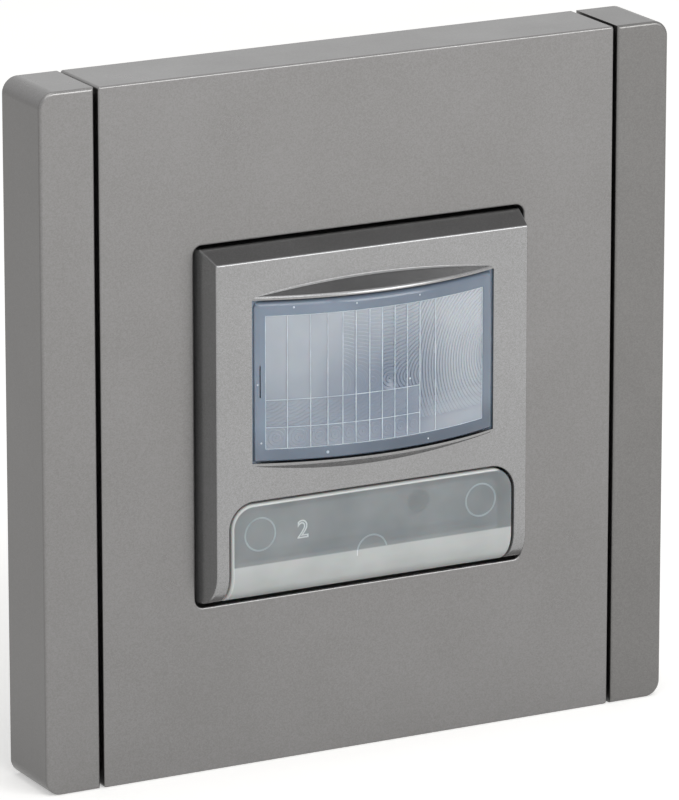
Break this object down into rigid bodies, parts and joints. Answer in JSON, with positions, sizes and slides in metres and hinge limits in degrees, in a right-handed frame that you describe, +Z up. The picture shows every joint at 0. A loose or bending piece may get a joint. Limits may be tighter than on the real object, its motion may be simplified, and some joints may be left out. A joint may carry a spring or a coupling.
{
  "type": "motion sensor light switch",
  "caption": "Wall switch that turns lighting on by movement, with an arched ribbed lens above a translucent override key in a square three-panel cover.",
  "frame": {"origin": "middle of the two wall-box screw slots, in the plane of the wall face", "axes": "+X right and +Z up as seen from the front, +Y into the wall"},
  "size_m": [0.086, 0.0459, 0.0874],
  "materials": {
    "cover_paint": "satin metallic paint",
    "bezel_paint": "fine silver grey metallic paint",
    "carrier_black": "moulded black",
    "zinc_steel": "galvanised sheet",
    "lens_film": "milky polyethylene",
    "key_frost": "frosted translucent",
    "guide_clear": "clear moulded",
    "retainer_white": "moulded light grey",
    "board_laminate": "solder resist",
    "part_black": "moulded",
    "switch_button": "moulded",
    "can_metal": "nickel plate",
    "filter_dark": "silicon filter",
    "cell_face": "coated ceramic",
    "led_body": "cast resin",
    "dial_white": "moulded white",
    "trimmer_blue": "moulded blue",
    "housing_grey": "moulded dark grey",
    "rear_grey": "moulded light grey",
    "relay_case": "moulded blue",
    "film_case": "moulded yellow",
    "can_sleeve": "shrink sleeve",
    "disc_coat": "epoxy dip",
    "fuse_glass": "glass and caps",
    "choke_sleeve": "sleeved ferrite",
    "terminal_body": "moulded dark grey",
    "clamp_brass": "stamped",
    "screw_zinc": "zinc plate"
  },
  "bodies": {
    "base": {"board_header": "part_black", "centre_plate": "cover_paint", "film_capacitor": "film_case", "fresnel_lens": "lens_film", "front_bezel": "bezel_paint", "front_housing": "housing_grey", "fuse": "fuse_glass", "inductor": "choke_sleeve", "left_side_bar": "cover_paint", "lens_retainer": "retainer_white", "light_guide": "guide_clear", "photocell": "cell_face", "pir_can": "can_metal", "pir_pedestal": "dial_white", "pir_window": "filter_dark", "plate_carrier": "carrier_black", "power_board": "board_laminate", "rear_housing": "rear_grey", "relay": "relay_case", "right_side_bar": "cover_paint", "sensor_board": "board_laminate", "smoothing_capacitor": "can_sleeve", "status_led": "led_body", "support_frame": "zinc_steel", "tact_switch_body": "part_black", "terminal_block": "terminal_body", "terminal_clamps": "clamp_brass", "terminal_screws": "screw_zinc", "trimmer_bodies": "trimmer_blue", "varistor": "disc_coat"},
    "key": {"override_key": "key_frost"},
    "switch_plunger": {"tact_switch_plunger": "switch_button"},
    "delay_adjuster": {"delay_dial": "dial_white"},
    "range_adjuster": {"range_dial": "dial_white"},
    "light_level_adjuster": {"light_level_dial": "dial_white"}
  },
  "joints": [
    {"name": "key_press", "type": "hinge", "parent": "base", "child": "key", "pos_m": [0, -0.0103, -0.0193], "axis": [-1, 0, 0], "range_deg": [0, 3], "stiffness_Nm_per_rad": 0.05, "springref_deg": -3.44},
    {"name": "plunger_travel", "type": "slide", "parent": "base", "child": "switch_plunger", "axis": [0, 1, 0], "range_m": [0, 0.0004]},
    {"name": "delay_turn", "type": "hinge", "parent": "base", "child": "delay_adjuster", "pos_m": [-0.012, 0, 0.01885], "axis": [0, -1, 0], "range_deg": [0, 270]},
    {"name": "range_turn", "type": "hinge", "parent": "base", "child": "range_adjuster", "pos_m": [0, 0, 0.01885], "axis": [0, -1, 0], "range_deg": [0, 270]},
    {"name": "light_level_turn", "type": "hinge", "parent": "base", "child": "light_level_adjuster", "pos_m": [0.012, 0, 0.01885], "axis": [0, -1, 0], "range_deg": [0, 270]}
  ],
  "couplings": [
    {"joint": "plunger_travel", "follows": "key_press", "m_per_rad": 0.0067}
  ]
}
